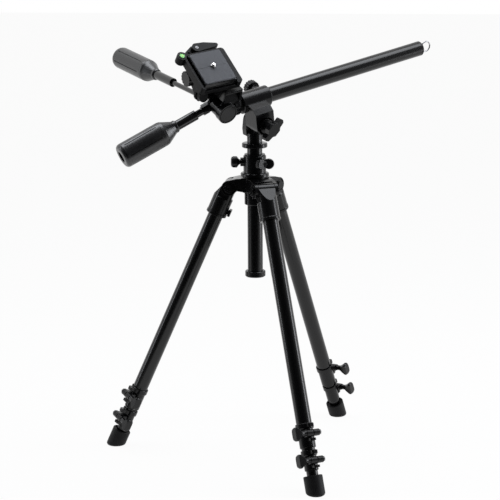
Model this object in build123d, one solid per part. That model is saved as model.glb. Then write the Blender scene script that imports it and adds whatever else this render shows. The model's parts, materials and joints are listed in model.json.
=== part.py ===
from build123d import *
import os
from math import asin, atan, cos, degrees, pi, radians, sin, tan

# A folding camera tripod: three telescopic legs, a rotating lift column,
# a lateral arm on a tilting bracket and a three-way head on the arm's end.
# Origin: on the floor, under the column axis. +Z is up, sizes in mm.

# Legs
LEG_NAMES = ("left", "front", "right")
LEG_AZIMUTHS = (180.0, 300.0, 60.0)
CLAMP_TURNS = (44.0, 9.4, 2.4)        # bolt barrels, about the leg, from straight outward
KNOB_SIDES = (1, -1, -1)              # way that the clamp knobs point, round the leg
LEG_SPLAY = 23.8
PIVOT_RADIUS, PIVOT_Z = 42.0, 469.0
LEG_OFFSET = 3.8                      # tube axis, outside the pivot
UPPER_OD, UPPER_ID = 26.0, 23.6
MIDDLE_OD, MIDDLE_ID = 22.4, 20.2
LOWER_OD, LOWER_ID = 19.2, 16.8
UPPER_TOP, MIDDLE_TOP, LOWER_TOP = 30.0, 67.0, 89.0    # distances down the leg from the pivot
SOCKET_RADIUS, SHOULDER_END = 17.4, 54.0
TAB_Z = (-47.0, -39.0)
UPPER_CLAMP = (397.5, 438.0)
LOWER_CLAMP = (441.5, 475.0)
UPPER_CLAMP_RADIUS, LOWER_CLAMP_RADIUS = 15.2, 13.4
CLAMP_RIM = 9.0                       # rim round the outer tube's end
BOLT_OUT, BOLT_DROP, BOLT_RADIUS = 5.0, 17.5, 2.5      # clamp bolt, outside the rim and below its top
BARREL_LUG, BARREL_HALF = 5.7, 12.0
EAR_HALF, UPPER_EAR, LOWER_EAR = 5.5, (1.5, 7.0), (26.0, 30.0)
KNOB_STEM, KNOB_WIDE, KNOB_LONG, KNOB_HALF = 4.4, 11.5, 23.0, 6.0
FOOT_TOP = 483.0
FOOT_RADIUS, FOOT_EDGE = 15.9, 4.0
FOOT_SOCKET = 14.0

# Crown and column
KNUCKLE_RADIUS = 12.5
KNUCKLE_HALF = 14.7
CHEEK_HALF = 21.0
CHEEK_GAP = 15.0
PIN_RADIUS = 3.0
HUB_RADIUS = 21.0
HUB_BOTTOM, HUB_TOP = 460.0, 487.0
FLANGE_RADIUS, FLANGE_TOP = 24.3, 494.0
COLLAR_RADIUS, COLLAR_TOP = 19.4, 523.5
SLEEVE_RADIUS, SLEEVE_BOTTOM = 17.9, 439.0
COLUMN_OD, COLUMN_ID = 26.0, 22.0
COLUMN_BOTTOM, COLUMN_TOP = 318.0, 552.0
BUSH_RADIUS, BUSH_LIP = 14.6, 17.5
FIT = 0.05                            # radial running clearance
STOP_RING_RADIUS, STOP_RING_Z = 21.7, (537.0, 545.0)
CAP_RADIUS = 17.5
SCREW_Z = 512.0
COLLAR_SCREW_RADIUS, COLLAR_BOSS = 3.0, 24.5
WING_SPAN, WING_THICK, WING_LEAN = 37.0, 6.0, 18.0
THUMB_AZIMUTH, WING_AZIMUTH = 187.6, 308.6

# Arm bracket and arm
ARM_HEADING = 38.2
ARM_PITCH = 11.5
ARM_Z = 618.5                         # where the arm axis crosses the column axis
BRACKET_PIVOT_Z = 583.0
PIVOT_LEAN = 10.0                     # the tilt pivot dips towards the front
LAP_RADIUS = 17.5
LAP_BACK, TONGUE_RADIUS = 12.0, 15.5
LAP_GAP = 0.4
LAP_BOLT_RADIUS = 4.0
BLOCK_FRONT = 35.5
BLOCK_SIDE = ((-35.5, 23.2), (-26.8, 31.2), (-10.0, 36.0))    # front edge, bevel and top of the block
POCKET_RING = (12.2, 15.5)            # groove round the boss in the block's face
POCKET_DEPTH = 14.0
KNOB_STAND_OFF = 15.3                 # pivot knob, in front of the block
KNOB_SPAN, KNOB_THICK, KNOB_TURN = 46.0, 12.0, 38.0
SLEEVE_OD, SLEEVE_LENGTH, SLEEVE_X = 36.0, 56.0, -2.0
LOCK_X, LOCK_LEAN = 17.0, 80.2
ARM_OD, ARM_ID = 26.0, 22.0
ARM_LEFT, ARM_RIGHT = -37.0, 346.0
EYE_RADIUS, EYE_WIRE = 9.0, 1.2

# Head. The tilt frame has X along the arm and Y along the tilt axis
HEAD_PAN = 16.7
HEAD_TILT = 4.7
SIDE_TILT = 17.9
TILT_X, TILT_OFFSET = -65.3, 3.4
BASE_RADIUS, BASE_THICK = 17.0, 6.0
BARREL_RADIUS = 16.5
BARREL_Y = (-9.0, 12.0)
BARREL_CLEARANCE = 2.8                # room for the pan boss at full tilt
AXLE_RADIUS = 6.0
TILT_CHEEK_RADIUS = 17.8
CAP_FACE_Y = -21.0
NEAR_CHEEK = 3.0
FAR_CHEEK_Y, FAR_CHEEK_RADIUS = 24.0, 12.5
PAN_KNOB_X, PAN_KNOB_TURN = -50.5, -113.8
FORK_X = (-8.0, 28.5)                 # front wall of the tilt block
FORK_Z = (20.0, 38.5)
FORK_DEPTH = 6.0                      # how far back the wall keeps its width
BRIDGE_X = (-24.5, 15.6)              # web behind it
SIDE_AXIS_Y, SIDE_AXIS_Z = 40.0, 44.0
SIDE_HUB_RADIUS, SIDE_AXLE_RADIUS = 9.5, 4.0
REAR_EAR_X = (-40.5, -28.5)
FRONT_EAR_X = (16.0, 20.3)
EAR_RADIUS = 11.0

# Deck: platform, plate and what they carry, in the tilt frame before the side tilt
PLATE_CENTRE = (-16.9, 28.9)
PLATFORM_X, PLATFORM_Y = (-54.0, 24.5), (-9.1, 66.9)
PLATFORM_Z = (59.6, 73.6)
PAD_SIZE = (58.0, 62.5)
PLATE_MARGIN = 6.0                    # foot of the plate, over the pad
PLATE_FLOOR, PLATE_TOP, PAD_TOP = 65.6, 76.3, 79.3
PLATE_GAP = 0.6
FRONT_LIP = 66.6                      # top of the tray's low front wall
SCREW_RADIUS, SCREW_TOP = 3.175, 85.6
SHANK_RADIUS, THREAD_LOW = 2.6, 79.6  # the shank is relieved where the plate holds it
LEVER_PIVOT = (-20.8, 76.4)
LEVER_Z = (68.4, 74.4)
LEVER_REACH = 36.0
LEVEL_CENTRE = (-55.5, 65.0)
LEVEL_RADIUS, LEVEL_BOSS = 5.0, 8.6

# Handles, distances along the rod: start, sleeve, neck, shoulder, end; then rod, sleeve and grip radius
TILT_HANDLE_Y, TILT_HANDLE_DROOP = 15.1, 20.5
TILT_HANDLE = (20.0, 42.2, 79.8, 105.3, 187.9, 6.0, 8.6, 21.0)
TILT_HANDLE_BOSS = 29.0
SIDE_HANDLE_POINT = (-34.5, 20.0, 23.3)
SIDE_HANDLE_DROOP = 34.8
SIDE_HANDLE = (-14.0, 76.2, 129.8, 157.4, 258.3, 4.2, 7.6, 19.0)
SIDE_BOSS = (-22.0, -18.0, -9.0, -4.0)
GRIP_SLOTS = 6


def disc(radius, low, high):
    """Round bar along Z."""
    return Pos(0, 0, (low + high) / 2) * Cylinder(radius, high - low)


def pipe(outer, inner, low, high):
    return disc(outer, low, high) - disc(inner, low - 1, high + 1)


def block(x, y, z):
    """Box between pairs of limits."""
    size = [pair[1] - pair[0] for pair in (x, y, z)]
    middle = [(pair[0] + pair[1]) / 2 for pair in (x, y, z)]
    return Pos(*middle) * Box(*size)


def turned(*points):
    """Solid of revolution about Z from (radius, height) points."""
    outline = Polyline(*[(r, 0, z) for r, z in points], close=True)
    return revolve(make_face(outline), Axis.Z)


def outline(*points):
    return make_face(Polyline(*points, close=True))


def bar_along(axis, radius, start, end):
    """Round bar along X or Y between two positions."""
    turn = {"x": Rot(0, 90, 0), "y": Rot(-90, 0, 0)}[axis]
    return turn * disc(radius, start, end)


def lobed(radius, low, high, lobes, depth):
    """Knob body with flutes round its rim."""
    body = disc(radius, low, high)
    flute = radius * pi / lobes * 0.55
    cuts = [Rot(0, 0, 360 * i / lobes) * Pos(radius + flute - depth, 0, (low + high) / 2)
            * Cylinder(flute, high - low + 2) for i in range(lobes)]
    return body - cuts


def save(part, name):
    os.makedirs("parts", exist_ok=True)
    part.label = name
    export_step(part, f"parts/{name}.step")


# Wing bolt: a bow-tie of two round paddles leaning up from the hub, shank along -Z
def wing_bolt(span, shank_radius, shank_length):
    paddle_radius = span * 0.24
    reach, waist, hub_top = span / 2 - paddle_radius, paddle_radius * 0.55, WING_THICK + 2.5
    flat = Pos(reach, 0) * Circle(paddle_radius)
    flat += outline((0, -waist), (reach * 0.6, -waist), (reach, -paddle_radius * 0.98),
                    (reach, paddle_radius * 0.98), (reach * 0.6, waist), (0, waist))
    leaf = extrude(flat, WING_THICK)
    leaf = chamfer(leaf.faces().sort_by(Axis.Z)[-1].edges(), 1.2)
    leaf = Pos(0, 0, 2) * Rot(0, -WING_LEAN, 0) * leaf
    hub = turned((0, 0), (waist, 0), (waist, hub_top), (waist - 1.5, hub_top + 1.5), (0, hub_top + 1.5))
    return hub + leaf + Rot(0, 0, 180) * leaf + disc(shank_radius, -shank_length, 0.5)


# Leg parts, in a frame at the pivot with Z up the leg and X outward
def shoulder():
    """Knuckle for the fork, widening into the socket of the upper tube."""
    axis = Pos(LEG_OFFSET, 0, 0)
    inner, outer = KNUCKLE_RADIUS - 1.5, LEG_OFFSET + SOCKET_RADIUS
    knuckle = bar_along("y", KNUCKLE_RADIUS, -KNUCKLE_HALF, KNUCKLE_HALF)
    profile = outline((-inner, -5), (KNUCKLE_RADIUS, 0), (outer, -22), (outer, -UPPER_TOP + 2),
                      (-inner, -UPPER_TOP + 2))
    neck = extrude(Plane.XZ * profile, KNUCKLE_HALF, both=True) & axis * disc(SOCKET_RADIUS, -UPPER_TOP, 20)
    ring, lip = SOCKET_RADIUS + 0.6, SOCKET_RADIUS - 3
    socket = turned((0, -19), (lip, -19), (SOCKET_RADIUS, -22), (SOCKET_RADIUS, -SHOULDER_END + 5),
                    (ring, -SHOULDER_END + 4), (ring, -SHOULDER_END), (0, -SHOULDER_END))
    bore = disc(UPPER_OD / 2, -SHOULDER_END - 5, -UPPER_TOP)
    guide = block((-30, -10), (-4.2, 4.2), (TAB_Z[0] - 0.2, TAB_Z[1] + 0.2))
    body = knuckle + neck + axis * socket - bar_along("y", PIN_RADIUS + FIT, -30, 30)
    return body - axis * (bore + guide)


def stop_tab():
    stem = block((-18.5, -13.5), (-4, 4), TAB_Z)
    thumb = block((-23, -18.5), (-6.5, 6.5), (TAB_Z[0] - 2, TAB_Z[1] + 2))
    return stem + chamfer(thumb.edges().filter_by(Axis.Z), 1.5)


def clamp(top, bottom, tube_od, inner_od, rim_radius):
    """Split collar on a tube's end that grips the next tube, with a barrel for the clamp bolt beside it."""
    seat, sleeve, ledge = tube_od / 2, tube_od / 2 + 0.4, -top - CLAMP_RIM
    body = turned((0, -top), (rim_radius - 0.7, -top), (rim_radius, -top - 0.7), (rim_radius, ledge + 0.8),
                  (rim_radius - 0.8, ledge), (sleeve, ledge), (sleeve, -bottom + 1), (sleeve - 1, -bottom),
                  (0, -bottom))
    out, high = rim_radius + BOLT_OUT, -top - BOLT_DROP
    bolt = Pos(out, 0, high)
    body += bolt * bar_along("y", BARREL_LUG, -BARREL_HALF, BARREL_HALF)
    body += block((seat - 2, out), (-BARREL_HALF + 2, BARREL_HALF - 2),
                  (high - BARREL_LUG, high + BARREL_LUG))
    for ear_top, ear_bottom in (UPPER_EAR, LOWER_EAR):
        ear = block((seat - 1, out + 2), (-EAR_HALF, EAR_HALF), (-top - ear_bottom, -top - ear_top))
        body += chamfer(ear.edges().filter_by(Axis.Z).group_by(Axis.X)[-1], 2)
    groove = pipe(seat + 1.2, seat - 1, -top - 2, -top + 1)
    slit = block((0, 60), (-0.7, 0.7), (-bottom - 1, ledge - 1))
    bore = disc(seat, ledge, -top + 1) + disc(inner_od / 2 + FIT, -bottom - 1, ledge + 1)
    return body - groove - bore - slit - bolt * bar_along("y", BOLT_RADIUS + FIT, -30, 30)


def clamp_knob(top, rim_radius, side):
    """Oval thumb knob on a stem, with the bolt behind it, standing off one end of the barrel."""
    wide, far = KNOB_WIDE, KNOB_LONG
    trumpet = turned((0, 0), (KNOB_STEM + 0.4, 0), (KNOB_STEM, 5), (KNOB_STEM + 0.8, 9),
                     (wide - 2.5, far - 8.5),
                     (wide, far - 5), (wide, far - 2.5), (wide - 1.5, far - 0.6), (wide - 4, far), (0, far))
    knob = trumpet & block((-KNOB_HALF, KNOB_HALF), (-30, 30), (-1, far + 1))
    bolt = disc(BOLT_RADIUS, -2 * BARREL_HALF, 0.5)
    place = Pos(rim_radius + BOLT_OUT, side * (BARREL_HALF + FIT), -top - BOLT_DROP)
    return place * Rot(-90 * side, 0, 0) * (knob + bolt)


def foot():
    """Rubber foot with a recessed top; its sole is cut to lie flat on the floor at the leg's splay."""
    well, tilt = FOOT_RADIUS - 3, radians(LEG_SPLAY)
    floor_z = -(PIVOT_Z + LEG_OFFSET * sin(tilt)) / cos(tilt)
    body = turned((0, floor_z - 20), (0, -FOOT_TOP - 2.5), (well, -FOOT_TOP - 2.5), (well, -FOOT_TOP),
                  (FOOT_RADIUS - 1, -FOOT_TOP), (FOOT_RADIUS, -FOOT_TOP - 1), (FOOT_RADIUS, floor_z - 20))
    body -= Pos(0, 0, floor_z) * Rot(0, LEG_SPLAY, 0) * block((-60, 60), (-60, 60), (-60, 0))
    body = fillet(body.faces().sort_by(Axis.Z)[0].edges(), FOOT_EDGE)
    return body - disc(LOWER_OD / 2, -FOOT_TOP - FOOT_SOCKET, -FOOT_TOP + 1)


def build_leg(name, azimuth, turn, side):
    place = Rot(0, 0, azimuth) * Pos(PIVOT_RADIUS, 0, PIVOT_Z) * Rot(0, -LEG_SPLAY, 0)
    upper_end, middle_end = -UPPER_CLAMP[0] - CLAMP_RIM, -LOWER_CLAMP[0] - CLAMP_RIM
    spin = Rot(0, 0, turn)
    pieces = {
        "stop_tab": stop_tab(),
        "upper_tube": pipe(UPPER_OD / 2, UPPER_ID / 2, upper_end, -UPPER_TOP),
        "upper_clamp": spin * clamp(*UPPER_CLAMP, UPPER_OD, MIDDLE_OD, UPPER_CLAMP_RADIUS),
        "upper_knob": spin * clamp_knob(UPPER_CLAMP[0], UPPER_CLAMP_RADIUS, side),
        "middle_tube": pipe(MIDDLE_OD / 2, MIDDLE_ID / 2, middle_end, -MIDDLE_TOP),
        "lower_clamp": spin * clamp(*LOWER_CLAMP, MIDDLE_OD, LOWER_OD, LOWER_CLAMP_RADIUS),
        "lower_knob": spin * clamp_knob(LOWER_CLAMP[0], LOWER_CLAMP_RADIUS, side),
        "lower_tube": pipe(LOWER_OD / 2, LOWER_ID / 2, -FOOT_TOP - FOOT_SOCKET, -LOWER_TOP),
        "foot": foot(),
    }
    save(place * shoulder(), f"{name}_shoulder")
    for piece, shape in pieces.items():
        save(place * Pos(LEG_OFFSET, 0, 0) * shape, f"{name}_{piece}")


# Crown casting with three forks, the column collar on top and a sleeve below
def collar_screw_place(azimuth):
    return Rot(0, 0, azimuth) * Pos(0, 0, SCREW_Z) * Rot(0, 90, 0)


def crown():
    body = turned((0, SLEEVE_BOTTOM), (SLEEVE_RADIUS - 1, SLEEVE_BOTTOM),
                  (SLEEVE_RADIUS, SLEEVE_BOTTOM + 1),
                  (SLEEVE_RADIUS, HUB_BOTTOM), (HUB_RADIUS, HUB_BOTTOM), (HUB_RADIUS, HUB_TOP),
                  (FLANGE_RADIUS, HUB_TOP + 1), (FLANGE_RADIUS, FLANGE_TOP - 1.5),
                  (FLANGE_RADIUS - 1.5, FLANGE_TOP),
                  (COLLAR_RADIUS, FLANGE_TOP), (COLLAR_RADIUS, COLLAR_TOP - 1),
                  (COLLAR_RADIUS - 1, COLLAR_TOP),
                  (0, COLLAR_TOP))
    rim = KNUCKLE_RADIUS + 0.5
    web = outline((0, HUB_BOTTOM), (PIVOT_RADIUS - 14, PIVOT_Z - 5),
                  (PIVOT_RADIUS - 6, PIVOT_Z - rim * 0.86),
                  (PIVOT_RADIUS, PIVOT_Z - 2), (PIVOT_RADIUS, PIVOT_Z + rim),
                  (PIVOT_RADIUS - 12, HUB_TOP - 2),
                  (0, HUB_TOP))
    cheek = Plane.XZ * (web + Pos(PIVOT_RADIUS, PIVOT_Z) * Circle(rim))
    slab = extrude(cheek, CHEEK_HALF, both=True)
    swing = KNUCKLE_RADIUS + 0.6
    pivot = Pos(PIVOT_RADIUS, 0, PIVOT_Z)
    gap = pivot * bar_along("y", swing, -CHEEK_GAP, CHEEK_GAP)
    gap += pivot * block((-swing, 50), (-CHEEK_GAP, CHEEK_GAP), (-60, 0))
    gap += pivot * block((-4, 50), (-CHEEK_GAP, CHEEK_GAP), (-1, 40))
    pin = pivot * bar_along("y", PIN_RADIUS, -40, 40)
    fork = slab - gap - pin
    for outside in (CHEEK_HALF, -CHEEK_HALF):
        fork -= pivot * Pos(0, outside, 0) * Rot(90, 0, 0) * pipe(rim - 2, rim - 4.6, -1.2, 1.2)
    for azimuth in LEG_AZIMUTHS:
        body += Rot(0, 0, azimuth) * fork
    for azimuth in (THUMB_AZIMUTH, WING_AZIMUTH):
        body += collar_screw_place(azimuth) * disc(7.5, 16, COLLAR_BOSS)
    body -= disc(BUSH_RADIUS + FIT, 400, 600)
    for azimuth in (THUMB_AZIMUTH, WING_AZIMUTH):
        body -= collar_screw_place(azimuth) * disc(COLLAR_SCREW_RADIUS + FIT, 10, 30)
    return body


def pivot_bolts():
    end, head_radius, head_high = CHEEK_HALF, 6.5, 3.5
    shank = bar_along("y", PIN_RADIUS, -end - 1, end + 1)
    head = bar_along("y", head_radius, end, end + head_high) - bar_along("y", 2.5, end + 1.5, end + 4)
    nut = bar_along("y", head_radius, -end - head_high, -end)
    bolt = Pos(PIVOT_RADIUS, 0, PIVOT_Z) * (shank + head + nut)
    return Compound([Rot(0, 0, azimuth) * bolt for azimuth in LEG_AZIMUTHS])


# Column pieces
def column_bush():
    bore = COLUMN_OD / 2 + FIT
    lip = pipe(BUSH_LIP, bore, COLLAR_TOP + 0.3, COLLAR_TOP + 2.3)
    return pipe(BUSH_RADIUS, bore, SLEEVE_BOTTOM, COLLAR_TOP + 0.4) + lip


def column_foot_cap():
    low, seat = COLUMN_BOTTOM - 5, COLUMN_BOTTOM
    return turned((0, low), (CAP_RADIUS - 1.5, low), (CAP_RADIUS, low + 1.5), (CAP_RADIUS, seat + 4),
                  (CAP_RADIUS - 1, seat + 5), (COLUMN_OD / 2, seat + 5), (COLUMN_OD / 2, seat),
                  (COLUMN_ID / 2, seat), (COLUMN_ID / 2, seat + 16), (0, seat + 16))


def stop_ring():
    low, high = STOP_RING_Z
    bore, rim = COLUMN_OD / 2, STOP_RING_RADIUS
    return turned((bore, low), (rim - 1.2, low), (rim, low + 1.2), (rim, high - 1.2), (rim - 1.2, high),
                  (bore, high))


def column_top():
    """Plug in the tube and a half-lap tongue behind the bracket's block, in the heading frame."""
    plug = disc(COLUMN_ID / 2, COLUMN_TOP - 30, COLUMN_TOP)
    plug += disc(COLUMN_OD / 2, COLUMN_TOP, COLUMN_TOP + 9)
    low = COLUMN_TOP + 4 - BRACKET_PIVOT_Z
    rim = TONGUE_RADIUS
    sides = outline((-COLUMN_OD / 2, low), (COLUMN_OD / 2, low), (rim, low + 11), (rim, 0), (-rim, 0),
                    (-rim, low + 11))
    tongue = Pos(0, LAP_BACK, 0) * extrude(Plane.XZ * (sides + Circle(rim)), LAP_BACK)
    tongue -= bar_along("y", LAP_BOLT_RADIUS + FIT, -40, 40)
    return plug + Pos(0, 0, BRACKET_PIVOT_Z) * Rot(PIVOT_LEAN, 0, 0) * tongue


def thumb_knob():
    screw = COLLAR_SCREW_RADIUS
    return turned((0, 15.2), (screw, 15.2), (screw, 24.8), (4.5, 24.8), (4.5, 26.5), (9.7, 30.5),
                  (9.7, 36.5),
                  (8.6, 39), (6, 40.6), (0, 40.6))


def collar_wing():
    return Pos(0, 0, COLLAR_BOSS + 0.3) * Rot(0, 0, 90) * wing_bolt(WING_SPAN, COLLAR_SCREW_RADIUS, 9.6)


# Arm bracket, in a frame at the lap pivot with X along the arm
def arm_bracket():
    arm = Pos(*ARM_AXIS)
    start, end, outer = SLEEVE_X - SLEEVE_LENGTH / 2, SLEEVE_X + SLEEVE_LENGTH / 2, SLEEVE_OD / 2
    sleeve = arm * Rot(0, 90, 0) * turned((0, start), (outer - 1.5, start), (outer, start + 1.5),
                                          (outer, end - 1.5),
                                          (outer - 1.5, end), (0, end))
    side = outline((-LAP_GAP, -LAP_RADIUS), (-BLOCK_FRONT, -LAP_RADIUS), *BLOCK_SIDE,
                   (-LAP_GAP, BLOCK_SIDE[-1][1]))
    body = extrude(Plane.YZ * side, LAP_RADIUS, both=True)
    rounding = bar_along("y", LAP_RADIUS, -60, 60) + block((-40, 40), (-60, 60), (0, 80))
    inner, rim = POCKET_RING
    boss = bar_along("y", inner, -BLOCK_FRONT - 3, -BLOCK_FRONT + 1)
    pocket = bar_along("y", rim, -BLOCK_FRONT - 1, POCKET_DEPTH - BLOCK_FRONT)
    pocket -= bar_along("y", inner, -60, 0)
    lock = arm * Pos(LOCK_X, 0, 0) * Rot(-LOCK_LEAN, 0, 0)
    shape = (body & rounding) - pocket + sleeve + boss + lock * disc(8, 12, 24)
    shape -= arm * bar_along("x", ARM_OD / 2 + FIT, -60, 60)
    return shape - bar_along("y", LAP_BOLT_RADIUS + FIT, -60, 5) - lock * disc(3 + FIT, 10, 40)


def pivot_wing():
    """Two-armed clamp knob in front of the block; its bolt runs back through the lap."""
    tip, waist = KNOB_SPAN / 2, 10.0
    shape = outline((-tip + 3, -4.5), (-waist, -5.5), (-6, -9), (6, -9), (waist, -5.5), (tip - 3, -4.5),
                    (tip, 0), (tip - 2, 4.5), (waist + 2, 4), (6, 9), (-6, 9), (-waist - 2, 4),
                    (-tip + 2, 4.5), (-tip, 0))
    knob = extrude(shape, KNOB_THICK)
    knob = fillet(knob.edges().filter_by(Axis.Z), 1.8)
    back = -KNOB_STAND_OFF - BLOCK_FRONT - LAP_BACK
    collar = disc(7, -KNOB_STAND_OFF + 3.3, 0.5)
    bolt = disc(LAP_BOLT_RADIUS, back - 5, 0)
    head = disc(7.5, back - 5, back - 0.4)
    place = Pos(0, -BLOCK_FRONT - KNOB_STAND_OFF, 0) * Rot(90, 0, 0) * Rot(0, 0, KNOB_TURN)
    return place * (knob + collar + bolt + head)


def lock_knob():
    return lobed(13, 31, 41, 16, 1.0) + disc(8, 24.4, 31.5) + disc(3, 14, 30)


# Arm, along X in the arm frame
def arm_end_cap():
    end, inner, rim, hole = ARM_RIGHT, ARM_ID / 2, ARM_OD / 2, 2 + FIT
    return Rot(0, 90, 0) * turned((hole, end - 16), (inner, end - 16), (inner, end), (rim, end),
                                  (rim, end + 3),
                                  (rim - 1.5, end + 5), (hole, end + 5))


def eye_hook():
    centre = ARM_RIGHT + 8 + EYE_RADIUS
    shank = bar_along("x", 2, ARM_RIGHT - 14, centre - EYE_RADIUS + 0.6)
    wire = turned(*[(EYE_RADIUS + EYE_WIRE * cos(pi / 4 * i),
                     EYE_WIRE * sin(pi / 4 * i)) for i in range(8)])
    return shank + Pos(centre, 0, 0) * Rot(90, 0, 0) * wire


# Head pieces; base and body along X in the pan frame
def head_base():
    plug = bar_along("x", ARM_ID / 2, ARM_LEFT - 1, ARM_LEFT + 25)
    return bar_along("x", BASE_RADIUS, ARM_LEFT - BASE_THICK, ARM_LEFT) + plug


def pan_knob_place():
    return Pos(PAN_KNOB_X, 0, 0) * Rot(PAN_KNOB_TURN, 0, 0)


def head_body():
    face = ARM_LEFT - BASE_THICK - 0.3
    plate = bar_along("x", BASE_RADIUS, face - 3.2, face)
    neck = bar_along("x", BARREL_RADIUS, TILT_X, face)
    axis = Pos(TILT_X, 0, TILT_OFFSET)
    barrel = axis * bar_along("y", BARREL_RADIUS, *BARREL_Y)
    core = (neck + barrel) & block((TILT_X - 40, face), BARREL_Y, (-60, 60))
    boss = pan_knob_place() * disc(4.2, 8, 26)
    body = core + plate + boss - axis * bar_along("y", AXLE_RADIUS + FIT, -60, 60)
    return body - pan_knob_place() * disc(2.5 + FIT, 12, 40)


def pan_knob():
    return lobed(12, 34, 46, 10, 1.2) + disc(6, 26.4, 35) + disc(2.5, 14, 30)


def tilt_block():
    """Fork over the barrel with its axle, a front wall with a sloped recess and the side-tilt hub."""
    left, right = FORK_X
    low, high = FORK_Z
    near_y, far_y = BARREL_Y[0] - LAP_GAP, BARREL_Y[1] + LAP_GAP
    front = near_y - NEAR_CHEEK
    rim, far_rim = TILT_CHEEK_RADIUS, FAR_CHEEK_RADIUS
    wall = outline((left, low), (right, low), (right, high), (left, high))
    skirt = outline((-rim, 0), (rim * 0.7, rim * 0.7), (right, low - 3), (right, low + 1), (left, low + 1))
    near = Pos(0, near_y, 0) * extrude(Plane.XZ * (wall + skirt + Circle(rim)), NEAR_CHEEK)
    near += bar_along("y", rim, CAP_FACE_Y, near_y)
    near += Pos(0, FORK_DEPTH, 0) * extrude(Plane.XZ * wall, FORK_DEPTH - front)
    ring = bar_along("y", rim - 2.4, CAP_FACE_Y - 1, CAP_FACE_Y + 1)
    near -= ring - bar_along("y", rim - 3.3, CAP_FACE_Y - 2, CAP_FACE_Y + 2)
    slope = outline((front - 1, low - 4), (front + 1.5, low - 1), (front + 9, high - 6),
                    (front - 1, high - 6))
    near -= Pos(left + 3, 0, 0) * extrude(Plane.YZ * slope, right - left - 7)
    near += Pos(0, front + 1, high - 3) * bar_along("x", 3, left + 2, right - 4)
    web = outline((BRIDGE_X[0], low), (BRIDGE_X[1], low), (BRIDGE_X[1], high), (BRIDGE_X[0], high))
    link = outline((-far_rim, 0), (far_rim * 0.7, far_rim * 0.7), (BRIDGE_X[1], low + 1),
                   (BRIDGE_X[0], low + 1))
    far = Pos(0, FAR_CHEEK_Y, 0) * extrude(Plane.XZ * (web + link + Circle(far_rim)), FAR_CHEEK_Y - far_y)
    spine = block((left, BRIDGE_X[1]), (FORK_DEPTH - 1, SIDE_AXIS_Y), FORK_Z)
    side_axis = Pos(0, SIDE_AXIS_Y, SIDE_AXIS_Z)
    hub = side_axis * bar_along("x", SIDE_HUB_RADIUS, REAR_EAR_X[1] + LAP_GAP, FRONT_EAR_X[0] - LAP_GAP)
    boss = disc(8, 15, TILT_HANDLE_BOSS) + block((-7, 7), (-2.5, 8), (6, TILT_HANDLE_BOSS - 2))
    boss -= disc(TILT_HANDLE[5] + FIT, TILT_HANDLE[0] - 0.5, 60)
    keep_off = bar_along("y", BARREL_RADIUS + BARREL_CLEARANCE, near_y, far_y)
    axle = bar_along("y", AXLE_RADIUS, near_y - 1, far_y + 1)
    side_bore = side_axis * bar_along("x", SIDE_AXLE_RADIUS + FIT, -70, 30)
    return near + far + spine + hub + tilt_handle_place() * boss - keep_off + axle - side_bore


# Handles: a rod with a sleeve, and a slotted grip over its end
def tilt_handle_place():
    return Pos(0, TILT_HANDLE_Y, 0) * Rot(0, -90 - TILT_HANDLE_DROOP, 0)


def side_handle_place():
    return Pos(*SIDE_HANDLE_POINT) * Rot(-90 - SIDE_HANDLE_DROOP, 0, 0)


def handle_rod(start, sleeve, neck, shoulder, end, rod, cover, grip):
    return disc(rod, start, end - 30) + disc(cover, sleeve, neck)


def handle_grip(start, sleeve, neck, shoulder, end, rod, cover, grip):
    body = turned((0, neck), (cover + 0.8, neck), (cover + 2.2, neck + 2), (cover + 2.2, neck + 6),
                  (grip - 2.5, shoulder - 4), (grip - 0.6, shoulder), (grip, shoulder + 4), (grip, end - 6),
                  (grip - 0.8, end - 3), (grip - 2.6, end - 0.8), (grip - 5, end), (0, end))
    slot = Pos(grip, 0, (shoulder + end) / 2) * Box(2.4, 1.8, end - shoulder - 22)
    body -= [Rot(0, 0, 360 * i / GRIP_SLOTS) * slot for i in range(GRIP_SLOTS)]
    return body - disc(rod, neck - 1, end - 30) - disc(9.4, end - 12, end + 1)


# Platform with its ears, the plate and what sits on it
def rounded_slab(size, low, high, corner):
    flat = Pos(*PLATE_CENTRE, low) * RectangleRounded(*size, corner)
    return extrude(flat, high - low)


def ear(limits, reach):
    """Flat ear round the side-tilt axis, up to the platform; reach adds an arm to the handle boss."""
    y, z, top = SIDE_AXIS_Y, SIDE_AXIS_Z, PLATFORM_Z[0] + 1
    flat = Pos(y, z) * Circle(EAR_RADIUS)
    flat += outline((y - EAR_RADIUS - 5, top), (y - EAR_RADIUS, z), (y + EAR_RADIUS, z),
                    (y + EAR_RADIUS + 5, top))
    if reach:
        along, across = SIDE_BOSS[1] + 6, radians(SIDE_HANDLE_DROOP)
        low_y, low_z = SIDE_HANDLE_POINT[1] + along * cos(across), SIDE_HANDLE_POINT[2] - along * sin(across)
        flat += Pos(low_y, low_z) * Circle(8)
        flat += outline((low_y - 5, low_z + 6), (low_y + 2, low_z - 8), (y + 4, z - EAR_RADIUS + 1),
                        (y - 8, z + 7))
    return Pos(limits[0], 0, 0) * extrude(Plane.YZ * flat, limits[1] - limits[0])


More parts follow.
